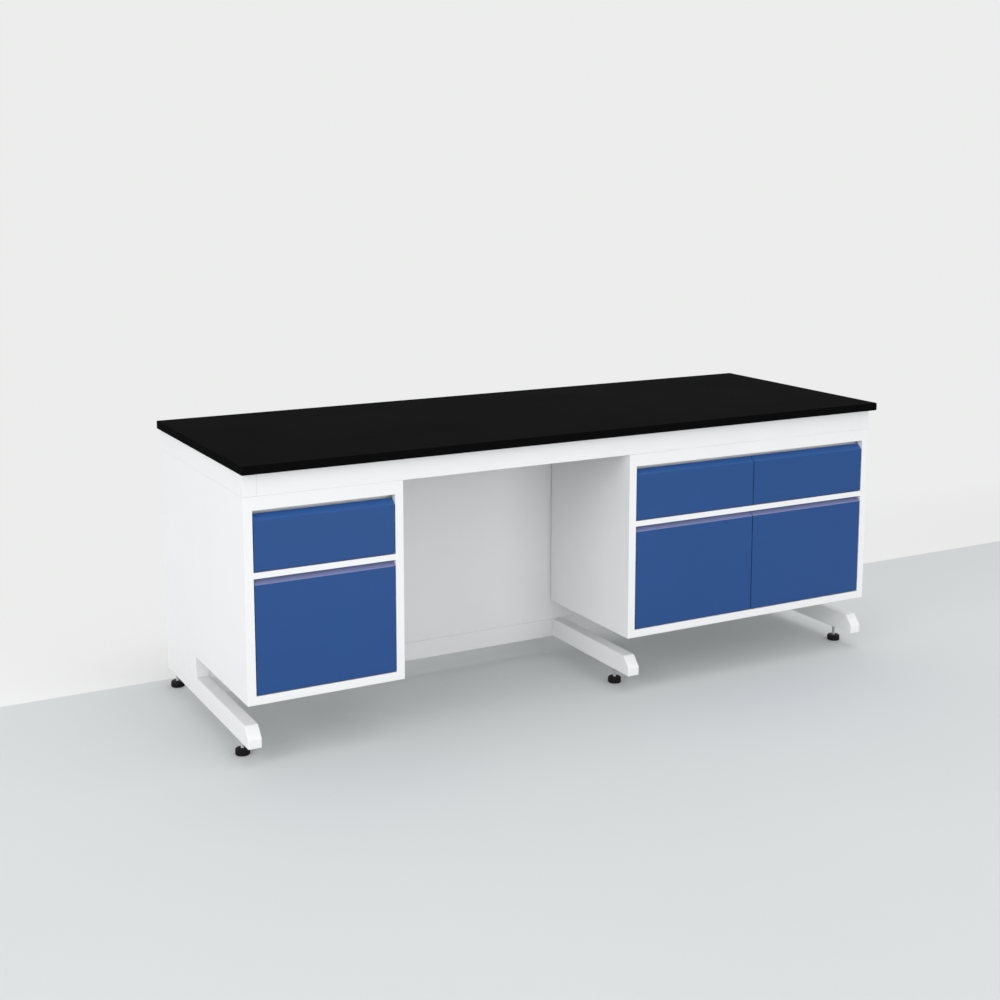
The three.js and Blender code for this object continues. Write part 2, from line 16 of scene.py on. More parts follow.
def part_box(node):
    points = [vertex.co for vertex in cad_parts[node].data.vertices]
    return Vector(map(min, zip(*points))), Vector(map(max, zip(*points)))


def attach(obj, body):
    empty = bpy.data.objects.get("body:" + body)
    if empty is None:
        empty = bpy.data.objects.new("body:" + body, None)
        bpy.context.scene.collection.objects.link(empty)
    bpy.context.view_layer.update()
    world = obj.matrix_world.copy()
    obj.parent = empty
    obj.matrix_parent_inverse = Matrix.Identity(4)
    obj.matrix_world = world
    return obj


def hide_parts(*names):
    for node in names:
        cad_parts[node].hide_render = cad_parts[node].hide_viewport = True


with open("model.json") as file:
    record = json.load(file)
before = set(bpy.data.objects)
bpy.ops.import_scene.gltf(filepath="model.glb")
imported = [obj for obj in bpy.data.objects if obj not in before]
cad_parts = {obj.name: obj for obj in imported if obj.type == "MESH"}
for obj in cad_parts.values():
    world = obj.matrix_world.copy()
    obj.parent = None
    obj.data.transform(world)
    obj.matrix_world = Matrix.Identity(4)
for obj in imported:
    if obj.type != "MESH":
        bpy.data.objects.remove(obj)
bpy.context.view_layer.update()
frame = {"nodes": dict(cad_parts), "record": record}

MM = 0.001

# %% [markdown]
# ## Camera
# The photograph is taken from the front left, a little above the worktop. Its place, turn and focal length
# were found from the worktop's corners and the cabinets' lower edges. The lens shift moves the frame down, so
# the camera tilts less and the uprights stay nearly upright.

# %% Camera at the photograph's angle
FOCAL_PIXELS = 1504.09
CENTRE_X, CENTRE_Y = 496.61, 382.12
FRAME_PIXELS = 1000
SENSOR = 36.0
CAMERA_PLACE = (-2.35593, -4.13705, 1.65541)
TILT_DOWN, TURN_RIGHT = 0.14815, 0.49562
camera_data = bpy.data.cameras.new("photo_camera")
camera_data.sensor_width = SENSOR
camera_data.lens = SENSOR * FOCAL_PIXELS / FRAME_PIXELS
camera_data.shift_x = (FRAME_PIXELS / 2 - CENTRE_X) / FRAME_PIXELS
camera_data.shift_y = (CENTRE_Y - FRAME_PIXELS / 2) / FRAME_PIXELS
camera = bpy.data.objects.new("photo_camera", camera_data)
camera.location = CAMERA_PLACE
camera.rotation_euler = (pi / 2 - TILT_DOWN, 0, -TURN_RIGHT)
bpy.context.scene.collection.objects.link(camera)
bpy.context.scene.camera = camera
print("lens:", round(camera_data.lens, 2), "mm")

# %% [markdown]
# ## Node helper
# Every finish below is a small node tree. One function adds a node, sets its properties and fills its
# sockets: a plain value is typed in, and another node's output is linked. Colours are written as sRGB hex,
# as they would be picked from a paint card, and turned to the linear values that Cycles works in.

# %% Colours and nodes
MIX_A, MIX_B, MIX_RESULT = 6, 7, 2
BUMP_DEPTH = 0.1 * MM


def linear(code):
    channels = [int(code[i:i + 2], 16) / 255 for i in (1, 3, 5)]
    return (*(c / 12.92 if c <= 0.04045 else ((c + 0.055) / 1.055) ** 2.4 for c in channels), 1.0)


def add(tree, kind, inputs, **settings):
    node = tree.nodes.new(kind)
    for name, value in settings.items():
        setattr(node, name, value)
    for socket, value in inputs.items():
        if isinstance(value, bpy.types.NodeSocket):
            tree.links.new(value, node.inputs[socket])
        else:
            node.inputs[socket].default_value = value
    return node


def new_material(name):
    material = bpy.data.materials.new(name)
    material.use_nodes = True
    tree = material.node_tree
    place = add(tree, "ShaderNodeTexCoord", {}).outputs["Object"]
    return material, tree, tree.nodes["Principled BSDF"], place


print("middle grey in linear light:", round(linear("#808080")[0], 3))

# %% [markdown]
# ## Powder coat
# The frames, cabinets and fronts are steel with a baked powder coat. Powder melts into a film that is never
# quite flat: a faint orange peel, about 3 mm from dimple to dimple, which breaks up reflections, and a tone
# that drifts slightly with film thickness. The peel is drawn 7 mm wide, because 3 mm is one pixel here.

# %% Powder coats
FILM_PATCH = 180 * MM
PEEL_WIDTH = 7 * MM
GLOSS_DRIFT = 0.05


def powder_coat(name, colour, thin_colour, roughness):
    material, tree, shader, place = new_material(name)
    film = add(tree, "ShaderNodeTexNoise", {"Vector": place, "Scale": 1 / FILM_PATCH, "Detail": 3.0})
    tone = add(
        tree, "ShaderNodeMix",
        {"Factor": film.outputs["Fac"], MIX_A: linear(thin_colour), MIX_B: linear(colour)}, data_type="RGBA",
    )
    peel = add(tree, "ShaderNodeTexNoise", {"Vector": place, "Scale": 1 / PEEL_WIDTH, "Detail": 1.0})
    gloss = add(
        tree, "ShaderNodeMapRange",
        {
            "Value": peel.outputs["Fac"],
            "To Min": roughness - GLOSS_DRIFT, "To Max": roughness + GLOSS_DRIFT,
        },
    )
    bump = add(
        tree, "ShaderNodeBump", {"Height": peel.outputs["Fac"], "Strength": 0.12, "Distance": BUMP_DEPTH},
    )
    tree.links.new(tone.outputs[MIX_RESULT], shader.inputs["Base Color"])
    tree.links.new(gloss.outputs["Result"], shader.inputs["Roughness"])
    tree.links.new(bump.outputs["Normal"], shader.inputs["Normal"])
    shader.inputs["Specular IOR Level"].default_value = 0.3
    return material


white_coat = powder_coat("white_powder_coated_steel", "#f4f4f5", "#eff0f1", 0.42)
blue_coat = powder_coat("blue_powder_coated_steel", "#1e4c8a", "#1c4885", 0.44)
# the drawer pull's lighter blue is a painted highlight: the slope catching light from above, on the same paint
# as the face
drawer_slope_painted_highlight_coat = powder_coat("blue_drawer_pull_painted_highlight", "#2c5d9f", "#2a5899", 0.40)
# the door pull's pale lilac blue is a painted reflection of the white rail above, on the same paint as the
# face
door_slope_painted_reflection_coat = powder_coat("pale_blue_door_pull_painted_reflection", "#838ab4", "#7b83ae", 0.38)
print("coats:", [coat.name for coat in (white_coat, blue_coat, drawer_slope_painted_highlight_coat, door_slope_painted_reflection_coat)])

# %% [markdown]
# ## Black resin worktop
# Laboratory tops are cast or pressed from black resin. The face is matt and very dark, with a fine grain of
# slightly greyer specks from the filler and a soft unevenness in the sheen where it has been wiped. The
# specks are about 1 mm in the real slab and drawn at 3 mm.

# %% Black resin
SPECK_WIDTH = 3 * MM
WIPE_WIDTH = 260 * MM


def black_resin(name):
    material, tree, shader, place = new_material(name)
    specks = add(tree, "ShaderNodeTexNoise", {"Vector": place, "Scale": 1 / SPECK_WIDTH, "Detail": 2.0})
    grain = add(
        tree, "ShaderNodeMix",
        {"Factor": specks.outputs["Fac"], MIX_A: linear("#040404"), MIX_B: linear("#121213")},
        data_type="RGBA",
    )
    wiped = add(tree, "ShaderNodeTexNoise", {"Vector": place, "Scale": 1 / WIPE_WIDTH, "Detail": 4.0})
    sheen = add(
        tree, "ShaderNodeMapRange", {"Value": wiped.outputs["Fac"], "To Min": 0.58, "To Max": 0.70},
    )
    bump = add(
        tree, "ShaderNodeBump", {"Height": specks.outputs["Fac"], "Strength": 0.10, "Distance": BUMP_DEPTH},
    )
    tree.links.new(grain.outputs[MIX_RESULT], shader.inputs["Base Color"])
    tree.links.new(sheen.outputs["Result"], shader.inputs["Roughness"])
    tree.links.new(bump.outputs["Normal"], shader.inputs["Normal"])
    shader.inputs["Specular IOR Level"].default_value = 0.003
    return material


worktop_resin = black_resin("cast_black_resin")
print("worktop:", worktop_resin.name)

# %% [markdown]
# ## Zinc-plated steel, moulded nylon and magnet
# Runners, hinges, studs and screws are zinc plated: a cool grey metal whose plating clouds over in patches a
# centimetre or so across. The pads under the studs are moulded black nylon with a fine spark-eroded grain.
# The door catches are a white moulding round a dark ferrite magnet.

# %% Hardware finishes
CLOUD_WIDTH = 14 * MM
SPARK_GRAIN = 1.2 * MM


def zinc_plate(name):
    material, tree, shader, place = new_material(name)
    cloud = add(tree, "ShaderNodeTexNoise", {"Vector": place, "Scale": 1 / CLOUD_WIDTH, "Detail": 3.0})
    tone = add(
        tree, "ShaderNodeMix",
        {"Factor": cloud.outputs["Fac"], MIX_A: linear("#bcbfc3"), MIX_B: linear("#d9dbdd")},
        data_type="RGBA",
    )
    gloss = add(tree, "ShaderNodeMapRange", {"Value": cloud.outputs["Fac"], "To Min": 0.26, "To Max": 0.44})
    tree.links.new(tone.outputs[MIX_RESULT], shader.inputs["Base Color"])
    tree.links.new(gloss.outputs["Result"], shader.inputs["Roughness"])
    shader.inputs["Metallic"].default_value = 1.0
    return material


def moulding(name, colour, worn_colour, roughness):
    material, tree, shader, place = new_material(name)
    grain = add(tree, "ShaderNodeTexNoise", {"Vector": place, "Scale": 1 / SPARK_GRAIN, "Detail": 2.0})
    tone = add(
        tree, "ShaderNodeMix",
        {"Factor": grain.outputs["Fac"], MIX_A: linear(colour), MIX_B: linear(worn_colour)},
        data_type="RGBA",
    )
    bump = add(
        tree, "ShaderNodeBump", {"Height": grain.outputs["Fac"], "Strength": 0.25, "Distance": BUMP_DEPTH},
    )
    tree.links.new(tone.outputs[MIX_RESULT], shader.inputs["Base Color"])
    tree.links.new(bump.outputs["Normal"], shader.inputs["Normal"])
    shader.inputs["Roughness"].default_value = roughness
    shader.inputs["Specular IOR Level"].default_value = 0.25
    return material


zinc = zinc_plate("zinc_plated_steel")
nylon = moulding("moulded_black_nylon", "#030304", "#0a0a0b", 0.6)
catch_white = moulding("moulded_white_nylon", "#e6e7e6", "#dcdddc", 0.45)
ferrite = moulding("ground_ferrite_magnet", "#26262a", "#34343a", 0.6)
print("hardware:", [m.name for m in (zinc, nylon, catch_white, ferrite)])

# %% [markdown]
# ## Finish the solids that stay
# About half of the solids already have the right shape and only take a finish. The name of a node says what it
# is: runners and hinges are zinc plated, the worktop is resin, and the rest of what stays is white. The others
# are replaced further down.

# %% Assign finishes to the solids
for node, shape in frame["nodes"].items():
    if node == "worktop":
        finish = worktop_resin
    elif "runner" in node or "hinge" in node:
        finish = zinc
    else:
        finish = white_coat
    shape.data.materials.clear()
    shape.data.materials.append(finish)
print("finished solids:", len(frame["nodes"]))

# %% [markdown]
# ## Making a piece
# A new piece is worked as a bmesh and then written to an object that sits at the origin, with its place in
# its vertices, and rides on one body. A piece that stands for a solid hides that solid.

# %% Piece helper
bodies = frame["record"]["behaviour"]["bodies"]
body_of = {node: body for body, nodes in bodies.items() for node in nodes}


def middle(low, high, axis):
    return (low[axis] + high[axis]) / 2


def finish_piece(mesh, name, body, materials, stands_for=None):
    data = bpy.data.meshes.new(name)
    mesh.to_mesh(data)
    mesh.free()
    for material in materials:
        data.materials.append(material)
    piece = bpy.data.objects.new(name, data)
    bpy.context.scene.collection.objects.link(piece)
    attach(piece, body)
    if stands_for:
        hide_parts(stands_for)


print("bodies with pieces:", sorted(set(body_of.values())))

# %% [markdown]
# ## Rounded folds
# Sheet folded on a press brake keeps a small radius along each fold, and a tube's corners are rounder still.
# Those radii catch a thin line of light, which is most of what makes sheet steel look like steel. The solid
# is copied, its triangles are joined back into flat faces, and only the outer folds are bevelled.

# %% Round the outer folds of a solid
WELD = 0.001 * MM
FLAT = radians(0.5)
SQUARE_EDGE = radians(80)
FACING = 0.99
NEAR = 0.05 * MM


def merged_copy(node):
    mesh = bmesh.new()
    mesh.from_mesh(frame["nodes"][node].data)
    bmesh.ops.remove_doubles(mesh, verts=mesh.verts, dist=WELD)
    bmesh.ops.dissolve_limit(mesh, angle_limit=FLAT, verts=mesh.verts, edges=mesh.edges)
    return mesh


def planes_touched(vertex, low, high):
    touched = set()
    for axis in range(3):
        if abs(vertex.co[axis] - low[axis]) < NEAR:
            touched.add((axis, "low"))
        if abs(vertex.co[axis] - high[axis]) < NEAR:
            touched.add((axis, "high"))
    return touched


def round_folds(mesh, edges, radius):
    bmesh.ops.bevel(
        mesh, geom=edges, offset=radius, offset_type="OFFSET", segments=3, profile=0.5,
        affect="EDGES", clamp_overlap=True, material=-1,
    )


# %% [markdown]
# ## Fronts
# Each drawer front and door is a shallow pan. Its face, its two sides and its sloping pull meet in folds
# with a radius of about a millimetre. The sloping face of a pull takes a paler blue coat of its own, and that
# paleness is painted light: on a drawer it is a painted highlight for the light from above that the slope
# catches, and on a door, most of all, a painted reflection of the white rail close above shining down on it.

# %% Drawer fronts and doors
FRONT_RADIUS = 1.1 * MM
PULL_SLOPE = Vector((0, -0.5, 0.85)).normalized()
SLOPE_MATCH = 0.96
for node in [n for n in frame["nodes"] if n.endswith("_door") or n.endswith("_drawer_front")]:
    low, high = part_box(node)
    mesh = merged_copy(node)
    folds = [e for e in mesh.edges if all((1, "low") in planes_touched(v, low, high) for v in e.verts)]
    round_folds(mesh, folds, FRONT_RADIUS)
    for face in mesh.faces:
        # the pull's sloping faces get the paler coat, which paints in the light and reflection that they catch
        face.material_index = int(face.normal.dot(PULL_SLOPE) > SLOPE_MATCH)
    slope_painted_light_coat = door_slope_painted_reflection_coat if node.endswith("_door") else drawer_slope_painted_highlight_coat
    finish_piece(mesh, node + "_folded", body_of[node], [blue_coat, slope_painted_light_coat], node)
    print(node, "folds rounded:", len(folds))

# %% [markdown]
# ## Cabinet shells, tubes and foot beams
# The shells are folded at the front and along the bottom, so the edges of their box are rounded. The tubes of
# the frame butt against each other, and their small edge radius draws the thin lines that show where one
# ends and the next begins. The corners of the stretchers and the foot beams are rounder.

# %% Tubes of the frame
TUBE_RADIUS = 1.5 * MM
STRETCHER_RADIUS = 3 * MM
tubes = [f"{name}_{piece}" for name in ("left", "middle", "right") for piece in ("column", "top_arm")]
tubes += ["front_apron", "rear_top_rail", "left_lower_stretcher", "right_lower_stretcher"]
for node in tubes:
    low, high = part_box(node)
    mesh = merged_copy(node)
    edges = [e for e in mesh.edges if all(len(planes_touched(v, low, high)) == 3 for v in e.verts)]
    round_folds(mesh, edges, STRETCHER_RADIUS if node.endswith("stretcher") else TUBE_RADIUS)
    finish_piece(mesh, node + "_tube", "bench", [white_coat], node)
print("tubes with rounded edges:", len(tubes))

# %% Shells and beams
SHELL_RADIUS = 1.5 * MM
BEAM_RADIUS = 3 * MM
BEAM_CORNER = radians(20)
for node in ("left_cabinet_shell", "right_cabinet_shell"):
    low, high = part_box(node)
    mesh = merged_copy(node)
    folds = []
    for edge in mesh.edges:
        start, end = (planes_touched(v, low, high) for v in edge.verts)
        if len(start & end) == 2 and (1, "high") not in start:
            folds.append(edge)
    round_folds(mesh, folds, SHELL_RADIUS)
    finish_piece(mesh, node + "_folded", "bench", [white_coat], node)
    print(node, "folds rounded:", len(folds))
for node in ("left_foot_beam", "middle_foot_beam", "right_foot_beam"):
    low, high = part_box(node)
    mesh = merged_copy(node)
    skin = {(0, "low"), (0, "high")}
    corners = [e for e in mesh.edges if all(skin & planes_touched(v, low, high) for v in e.verts)]
    corners = [e for e in corners if e.is_manifold and e.calc_face_angle() > BEAM_CORNER]
    round_folds(mesh, corners, BEAM_RADIUS)
    finish_piece(mesh, node + "_rounded", "bench", [white_coat], node)
    print(node, "corners rounded:", len(corners))

# %% [markdown]
# ## Back panels
# In the photograph a thin line runs along the top of the stretcher in the knee space, because the panel stands
# a few millimetres behind the front of the tubes. The copy's front sheet is moved back, and its flanges get
# that much shorter.

# %% Panels set behind the tubes
PANEL_SETBACK = 4 * MM
FRONT_SHEET = 2 * MM
for node in ("left_back_panel", "right_back_panel"):
    low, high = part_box(node)
    mesh = merged_copy(node)
    sheet = [v for v in mesh.verts if v.co.y - low[1] < FRONT_SHEET]
    bmesh.ops.translate(mesh, verts=sheet, vec=(0, PANEL_SETBACK, 0))
    finish_piece(mesh, node + "_set_back", "bench", [white_coat], node)
    print(node, "corners moved:", len(sheet))

# %% [markdown]
# ## Top rails
# The rail over the drawers is a strip folded three times: a face, a shelf that goes back from the face's lower
# edge, and a lip that hangs behind the pulls. In the photograph the face reaches about a centimetre lower than
# in the solid, so the shelf of the copy is moved down. The ends of the lip are then drawn out behind the
# stiles, where they close the slot that would show beside it.

# %% Top rails
SHELF_LOW, SHELF_HIGH = 20 * MM, 40 * MM
SHELF_DROP = 9.5 * MM
LIP_REACH = 14 * MM
RAIL_RETURN = 36 * MM
for node in ("left_cabinet_top_rail", "right_cabinet_top_rail"):
    low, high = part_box(node)
    mesh = merged_copy(node)
    shelf = [v for v in mesh.verts if SHELF_LOW < v.co.z - low[2] < SHELF_HIGH]
    bmesh.ops.translate(mesh, verts=shelf, vec=(0, 0, -SHELF_DROP))
    bmesh.ops.bisect_plane(
        mesh, geom=mesh.verts[:] + mesh.edges[:] + mesh.faces[:], dist=WELD,
        plane_co=(0, low[1] + RAIL_RETURN, 0), plane_no=(0, 1, 0),
    )
    mesh.normal_update()
    for side, end in ((-1, low[0]), (1, high[0])):
        ends = [f for f in mesh.faces if f.normal.x * side > FACING]
        ends = [f for f in ends if abs(f.calc_center_median().x - end) < MM]
        ends = [f for f in ends if f.calc_center_median().y > low[1] + RAIL_RETURN]
        grown = bmesh.ops.extrude_face_region(mesh, geom=ends)
        moved = [part for part in grown["geom"] if isinstance(part, bmesh.types.BMVert)]
        bmesh.ops.translate(mesh, verts=moved, vec=(side * LIP_REACH, 0, 0))
        bmesh.ops.delete(mesh, geom=ends, context="FACES_ONLY")
    front = [e for e in mesh.edges if all(abs(v.co.y - low[1]) < NEAR for v in e.verts)]
    round_folds(mesh, [e for e in front if abs(e.verts[0].co.z - e.verts[1].co.z) < MM], FRONT_RADIUS)
    finish_piece(mesh, node + "_folded", "bench", [white_coat], node)
    print(node, "shelf moved:", len(shelf), "corners")

# %% [markdown]
# ## Levelling feet
# A foot is a nylon pad with a zinc-plated stud. The pad is a turned shape with grip ribs round its rim, so it
# is spun from half its profile and its rim faces are drawn out. The stud's thread is drawn as rings at its
# real 1.5 mm pitch, because the climb of the helix is too small to see. A thin nut locks it under the beam.

# %% Spin helper
def spun(profile, x, y, steps, material_index=0):
    mesh = bmesh.new()
    points = [mesh.verts.new((x + radius, y, height)) for radius, height in profile]
    edges = [mesh.edges.new(pair) for pair in zip(points, points[1:])]
    bmesh.ops.spin(
        mesh, geom=points + edges, cent=(x, y, 0), axis=(0, 0, 1), angle=tau, steps=steps, use_merge=True,
    )
    bmesh.ops.remove_doubles(mesh, verts=mesh.verts, dist=WELD)
    bmesh.ops.recalc_face_normals(mesh, faces=mesh.faces)
    for face in mesh.faces:
        face.material_index = material_index
    return mesh


def join_into(target, source):
    data = bpy.data.meshes.new("joining")
    source.to_mesh(data)
    source.free()
    target.from_mesh(data)
    bpy.data.meshes.remove(data)


# %% Feet with ribbed pads and threaded studs
PAD_PROFILE = [(0, 0), (19, 0), (20.2, 1.2), (20.2, 15.4), (19.6, 17), (17.8, 18), (0, 18)]
RIB_INSET, RIB_HEIGHT = 0.4 * MM, 0.7 * MM
UPRIGHT = 0.1
THREAD_PITCH = 1.5 * MM
THREAD_CORE, THREAD_CREST, THREAD_TIP = 4.4 * MM, 5.0 * MM, 3.6 * MM
STUD_START, FIRST_RING = 18.05 * MM, 18.6 * MM
TIP_GAP = 0.2 * MM
PAD_STEPS, STUD_STEPS, NUT_SIDES = 48, 20, 6
feet = [node for node in frame["nodes"] if node.endswith("_levelling_foot")]
for node in feet:
    low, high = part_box(node)
    x, y = middle(low, high, 0), middle(low, high, 1)
    foot = spun([(r * MM, z * MM) for r, z in PAD_PROFILE], x, y, PAD_STEPS)
    ribs = [f for f in foot.faces if abs(f.normal.z) < UPRIGHT]
    ribs.sort(key=lambda f: (f.calc_center_median().xy - Vector((x, y))).angle_signed(Vector((1, 0))))
    bmesh.ops.inset_individual(foot, faces=ribs[::2], thickness=RIB_INSET, depth=RIB_HEIGHT)
    heights = [FIRST_RING]
    while heights[-1] < high[2] - 3 * THREAD_PITCH:
        heights.append(heights[-1] + THREAD_PITCH)
    thread = [(0, STUD_START), (THREAD_CORE, STUD_START)]
    for height in heights[:-1]:
        thread += [(THREAD_CORE, height), (THREAD_CREST, height + THREAD_PITCH / 2)]
    tip = high[2] - TIP_GAP
    thread += [(THREAD_CORE, heights[-1]), (THREAD_TIP, tip), (0, tip)]
    join_into(foot, spun(thread, x, y, STUD_STEPS, 1))
    finish_piece(foot, node + "_ribbed", body_of[node], [nylon, zinc], node)
    print(node, "ribs:", len(ribs[::2]), "thread rings:", len(heights) - 1)

# %% Lock nuts under the beams
NUT_BORE, NUT_RADIUS = 6.2 * MM, 9.8 * MM
NUT_TOP, NUT_BOTTOM = 0.3 * MM, 5.3 * MM
NUT_EDGE = 0.5 * MM
beam_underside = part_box("left_foot_beam")[0][2]
top, bottom = beam_underside - NUT_TOP, beam_underside - NUT_BOTTOM
ring = [(NUT_BORE, bottom), (NUT_RADIUS, bottom), (NUT_RADIUS, top), (NUT_BORE, top), (NUT_BORE, bottom)]
nuts = bmesh.new()
for node in feet:
    low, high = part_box(node)
    join_into(nuts, spun(ring, middle(low, high, 0), middle(low, high, 1), NUT_SIDES))
rims = [e for e in nuts.edges if e.calc_face_angle(0) > SQUARE_EDGE]
round_folds(nuts, rims, NUT_EDGE)
finish_piece(nuts, "foot_lock_nuts", "bench", [zinc])
print("lock nuts:", len(feet))

# %% [markdown]
# ## Screws
# The hinges, runners and back panels are held by small pan-head screws, which only show when a door or drawer
# is open, or from behind. A head is a short cone with a socket sunk into its top. All the heads on one body
# share one object, because they are the same part bought by the box.

# %% Screw helper
SCREW_SIDES = 12
SCREW_FACES = 2 * SCREW_SIDES + 2
HEAD_HEIGHT, CROWN_RADIUS, SOCKET_RIM, SOCKET_DEPTH = 0.5, 0.75, 0.3, 0.25  # shares of the head's radius


def add_screw(mesh, at, facing, radius):
    facing = Vector(facing)
    turn = facing.to_track_quat("Z", "Y").to_matrix().to_4x4()
    stand = Matrix.Translation(Vector(at) + facing * HEAD_HEIGHT / 2 * radius) @ turn
    head = bmesh.ops.create_cone(
        mesh, cap_ends=True, segments=SCREW_SIDES, radius1=radius, radius2=CROWN_RADIUS * radius,
        depth=HEAD_HEIGHT * radius, matrix=stand,
    )
    faces = {face for vertex in head["verts"] for face in vertex.link_faces}
    crown = max(faces, key=lambda face: face.calc_center_median().dot(facing))
    bmesh.ops.inset_individual(
        mesh, faces=[crown], thickness=SOCKET_RIM * radius, depth=-SOCKET_DEPTH * radius,
    )


def spread(start, end, count):
    return [start + (end - start) * (i + 0.5) / count for i in range(count)]


# %% Screws on the bench
SHEET = 1.2 * MM
HINGE_PLATE = 3 * MM
HINGE_HEAD, PANEL_HEAD = 4 * MM, 5 * MM
HINGE_SCREW_INSETS, HINGE_SCREW_RISE = (9 * MM, 28 * MM), 15 * MM
PANEL_SCREWS = 5
screws = bmesh.new()
for node in [n for n in frame["nodes"] if n.endswith("_hinge")]:
    low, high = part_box(node)
    is_right = node.startswith("right")
    face = high[0] - HINGE_PLATE if is_right else low[0] + HINGE_PLATE
    for inset in HINGE_SCREW_INSETS:
        for rise in (-HINGE_SCREW_RISE, HINGE_SCREW_RISE):
            at = (face, high[1] - inset, middle(low, high, 2) + rise)
            add_screw(screws, at, (-1 if is_right else 1, 0, 0), HINGE_HEAD)
for node in ("left_back_panel", "right_back_panel"):
    low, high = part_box(node)
    for z in spread(low[2], high[2], PANEL_SCREWS):
        add_screw(screws, (low[0] + SHEET, middle(low, high, 1), z), (1, 0, 0), PANEL_HEAD)
        add_screw(screws, (high[0] - SHEET, middle(low, high, 1), z), (-1, 0, 0), PANEL_HEAD)
print("screw heads on the bench:", len(screws.faces) // SCREW_FACES)
finish_piece(screws, "bench_screws", "bench", [zinc])

# %% Screws in the drawers
RUNNER_HEAD, FRONT_HEAD = 4 * MM, 3 * MM
RUNNER_SCREWS, FRONT_SCREWS = 4, 3
FRONT_SCREW_RISE = 5 * MM
for drawer in ("left_drawer", "centre_drawer", "right_drawer"):
    low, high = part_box(drawer + "_box")
    runner_low, runner_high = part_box(drawer + "_left_box_runner")
    screws = bmesh.new()
    for y in spread(runner_low[1], runner_high[1], RUNNER_SCREWS):
        level = middle(runner_low, runner_high, 2)
        add_screw(screws, (low[0] + SHEET, y, level), (1, 0, 0), RUNNER_HEAD)
        add_screw(screws, (high[0] - SHEET, y, level), (-1, 0, 0), RUNNER_HEAD)
    for x in spread(low[0], high[0], FRONT_SCREWS):
        add_screw(screws, (x, low[1] + SHEET, low[2] + FRONT_SCREW_RISE), (0, 1, 0), FRONT_HEAD)
    print(drawer, "screw heads:", len(screws.faces) // SCREW_FACES)
    finish_piece(screws, drawer + "_screws", drawer, [zinc])

# %% [markdown]
# ## Magnetic catches
# Each door is held shut by a magnet. A white moulding stands on the cabinet floor behind the bottom rail, and
# its dark magnet meets a thin steel strike plate on the back of the door. The moulding is one outline drawn
# from the side and extruded across; the magnet is an inset of its front face.

# %% Catches and strike plates
CATCH_WIDTH, CATCH_HEIGHT = 36 * MM, 22 * MM
CATCH_FROM_EDGE = 30 * MM
CATCH_FRONT, CATCH_NECK, CATCH_REAR = 1.4 * MM, 7 * MM, 26 * MM
CATCH_EDGE = 0.8 * MM
CATCH_FLOOR_GAP = 0.2 * MM
MAGNET_AREA = 300 * MM * MM
MAGNET_RIM, MAGNET_BEVEL, MAGNET_PROUD = 3 * MM, 0.4 * MM, 0.3 * MM
PLATE_HALF_WIDTH, PLATE_HALF_HEIGHT = 17 * MM, 9 * MM
PLATE_GAP, PLATE_THICKNESS, PLATE_CORNER = 0.4 * MM, 0.5 * MM, 3 * MM
catches = bmesh.new()
for door in ("left_door", "centre_door", "right_door"):
    low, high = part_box(door)
    cabinet = "left" if door == "left_door" else "right"
    floor_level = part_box(cabinet + "_cabinet_shell")[0][2] + SHEET + CATCH_FLOOR_GAP
    hung_left = door != "right_door"
    x = high[0] - CATCH_FROM_EDGE if hung_left else low[0] + CATCH_FROM_EDGE
    back, sill = high[1], low[2]
    front, neck, rear = back + CATCH_FRONT, back + CATCH_NECK, back + CATCH_REAR
    top = sill + CATCH_HEIGHT
    outline = [(neck, floor_level), (rear, floor_level), (rear, top)]
    outline += [(front, top), (front, sill), (neck, sill)]
    side = catches.faces.new([catches.verts.new((x - CATCH_WIDTH / 2, y, z)) for y, z in outline])
    grown = bmesh.ops.extrude_face_region(catches, geom=[side])
    moved = [part for part in grown["geom"] if isinstance(part, bmesh.types.BMVert)]
    bmesh.ops.translate(catches, verts=moved, vec=(CATCH_WIDTH, 0, 0))
    plate = bmesh.new()
    stand = Matrix.Translation((x, back + PLATE_GAP, (top + sill) / 2)) @ Matrix.Rotation(pi / 2, 4, "X")
    plate_size = Matrix.Diagonal((PLATE_HALF_WIDTH, PLATE_HALF_HEIGHT, 1, 1))
    bmesh.ops.create_grid(plate, x_segments=1, y_segments=1, size=1, matrix=stand @ plate_size)
    bmesh.ops.solidify(plate, geom=plate.faces[:], thickness=PLATE_THICKNESS)
    bmesh.ops.recalc_face_normals(plate, faces=plate.faces)
    corners = [e for e in plate.edges if abs(e.verts[0].co.y - e.verts[1].co.y) > PLATE_THICKNESS / 2]
    round_folds(plate, corners, PLATE_CORNER)
    finish_piece(plate, door + "_strike_plate", door, [zinc])
bmesh.ops.recalc_face_normals(catches, faces=catches.faces)
round_folds(catches, [e for e in catches.edges if e.calc_face_angle(0) > SQUARE_EDGE], CATCH_EDGE)
magnets = [f for f in catches.faces if f.normal.y < -FACING and f.calc_area() > MAGNET_AREA]
magnets = [f for f in magnets if f.calc_center_median().z > sill]
bmesh.ops.inset_individual(catches, faces=magnets, thickness=MAGNET_RIM, depth=0)
bmesh.ops.inset_individual(catches, faces=magnets, thickness=MAGNET_BEVEL, depth=MAGNET_PROUD)
for face in magnets:
    face.material_index = 1
finish_piece(catches, "door_catches", "bench", [catch_white, ferrite])
print("magnets:", len(magnets))

# %% [markdown]
# ## Floor, light and background
# The bench stands on a plain pale floor. Behind it the floor turns to the paler tone of a backdrop, and far
# from the bench on every side it shows the backdrop's colour to the camera and in reflections, so that no
# lamp's pool of light shows there. Three large soft lamps and an even sky light the bench at a level where a
# painted colour renders about as it is written.

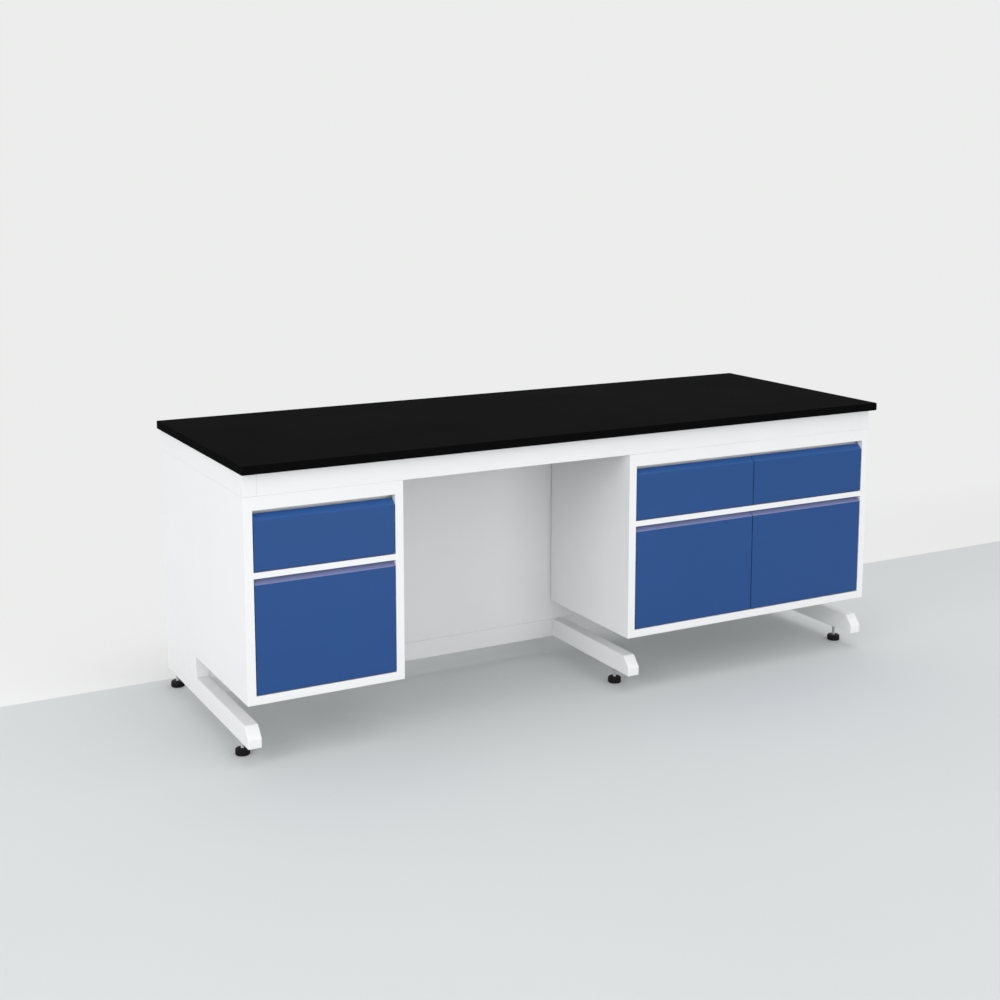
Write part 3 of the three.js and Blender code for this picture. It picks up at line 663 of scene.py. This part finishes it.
# %% Floor
FLOOR_TURNS, TURN_WIDTH = 0.44, 0.01
FLOOR_CLOUD = 1.5
FLOOR_HALF = 30
FAR_RAMPS = (("Y", 0.5, 1.4), ("Y", -3.0, -4.5), ("X", -3.0, -4.5), ("X", 4.5, 6.0))
BACKDROP = linear("#ecedec")
floor_material, tree, shader, place = new_material("matt_pale_floor")
axes = add(tree, "ShaderNodeSeparateXYZ", {"Vector": place})
behind = add(
    tree, "ShaderNodeMapRange",
    {
        "Value": axes.outputs["Y"],
        "From Min": FLOOR_TURNS - TURN_WIDTH / 2, "From Max": FLOOR_TURNS + TURN_WIDTH / 2,
    },
)
far = 0.0
for axis, start, end in FAR_RAMPS:
    ramp = add(tree, "ShaderNodeMapRange", {"Value": axes.outputs[axis], "From Min": start, "From Max": end})
    furthest = add(tree, "ShaderNodeMath", {0: far, 1: ramp.outputs["Result"]}, operation="MAXIMUM")
    far = furthest.outputs["Value"]
cloud = add(tree, "ShaderNodeTexNoise", {"Vector": place, "Scale": 1 / FLOOR_CLOUD, "Detail": 2.0})
tone = add(
    tree, "ShaderNodeMix",
    {"Factor": cloud.outputs["Fac"], MIX_A: linear("#d5d8d9"), MIX_B: linear("#dadddd")}, data_type="RGBA",
)
whole = add(
    tree, "ShaderNodeMix",
    {"Factor": behind.outputs["Result"], MIX_A: tone.outputs[MIX_RESULT], MIX_B: linear("#f3f4f3")},
    data_type="RGBA",
)
tree.links.new(whole.outputs[MIX_RESULT], shader.inputs["Base Color"])
shader.inputs["Roughness"].default_value = 0.8
shader.inputs["Specular IOR Level"].default_value = 0.2
ray = add(tree, "ShaderNodeLightPath", {})
seen = add(
    tree, "ShaderNodeMath", {0: ray.outputs["Is Camera Ray"], 1: ray.outputs["Is Glossy Ray"]},
    operation="MAXIMUM",
)
shown = add(tree, "ShaderNodeMath", {0: seen.outputs["Value"], 1: far}, operation="MULTIPLY")
backdrop = add(tree, "ShaderNodeEmission", {"Color": BACKDROP})
surface = add(
    tree, "ShaderNodeMixShader",
    {0: shown.outputs["Value"], 1: shader.outputs["BSDF"], 2: backdrop.outputs["Emission"]},
)
tree.links.new(surface.outputs["Shader"], tree.nodes["Material Output"].inputs["Surface"])
mesh = bmesh.new()
bmesh.ops.create_grid(mesh, x_segments=8, y_segments=8, size=FLOOR_HALF)
data = bpy.data.meshes.new("studio_floor")
mesh.to_mesh(data)
mesh.free()
data.materials.append(floor_material)
floor = bpy.data.objects.new("studio_floor", data)
bpy.context.scene.collection.objects.link(floor)

# %% Lamps and sky
SKY_LEVEL = 0.78
world = bpy.data.worlds.new("studio_sky")
world.use_nodes = True
bpy.context.scene.world = world
tree = world.node_tree
sky = tree.nodes["Background"]
sky.inputs["Color"].default_value = linear("#f6f6f6")
sky.inputs["Strength"].default_value = SKY_LEVEL
ray = add(tree, "ShaderNodeLightPath", {})
seen = add(
    tree, "ShaderNodeMath", {0: ray.outputs["Is Camera Ray"], 1: ray.outputs["Is Glossy Ray"]},
    operation="MAXIMUM",
)
backdrop = add(tree, "ShaderNodeBackground", {"Color": BACKDROP})
surface = add(
    tree, "ShaderNodeMixShader",
    {0: seen.outputs["Value"], 1: sky.outputs["Background"], 2: backdrop.outputs["Background"]},
)
tree.links.new(surface.outputs["Shader"], tree.nodes["World Output"].inputs["Surface"])


def soft_lamp(name, place, aim, size, watts):
    lamp = bpy.data.lights.new(name, "AREA")
    lamp.shape = "SQUARE"
    lamp.size = size
    lamp.energy = watts
    holder = bpy.data.objects.new(name, lamp)
    holder.location = place
    holder.rotation_euler = (Vector(aim) - Vector(place)).to_track_quat("-Z", "Y").to_euler()
    bpy.context.scene.collection.objects.link(holder)


soft_lamp("left_lamp", (-5.4, -2.9, 2.3), (0, 0, 0.4), 3.5, 106)
soft_lamp("front_lamp", (1.0, -5.8, 1.3), (0, 0, 0.4), 2.4, 56)
soft_lamp("overhead_lamp", (0.8, -0.6, 5.0), (0.4, 0, 0), 4.0, 60)
bpy.context.scene.view_settings.view_transform = "Standard"
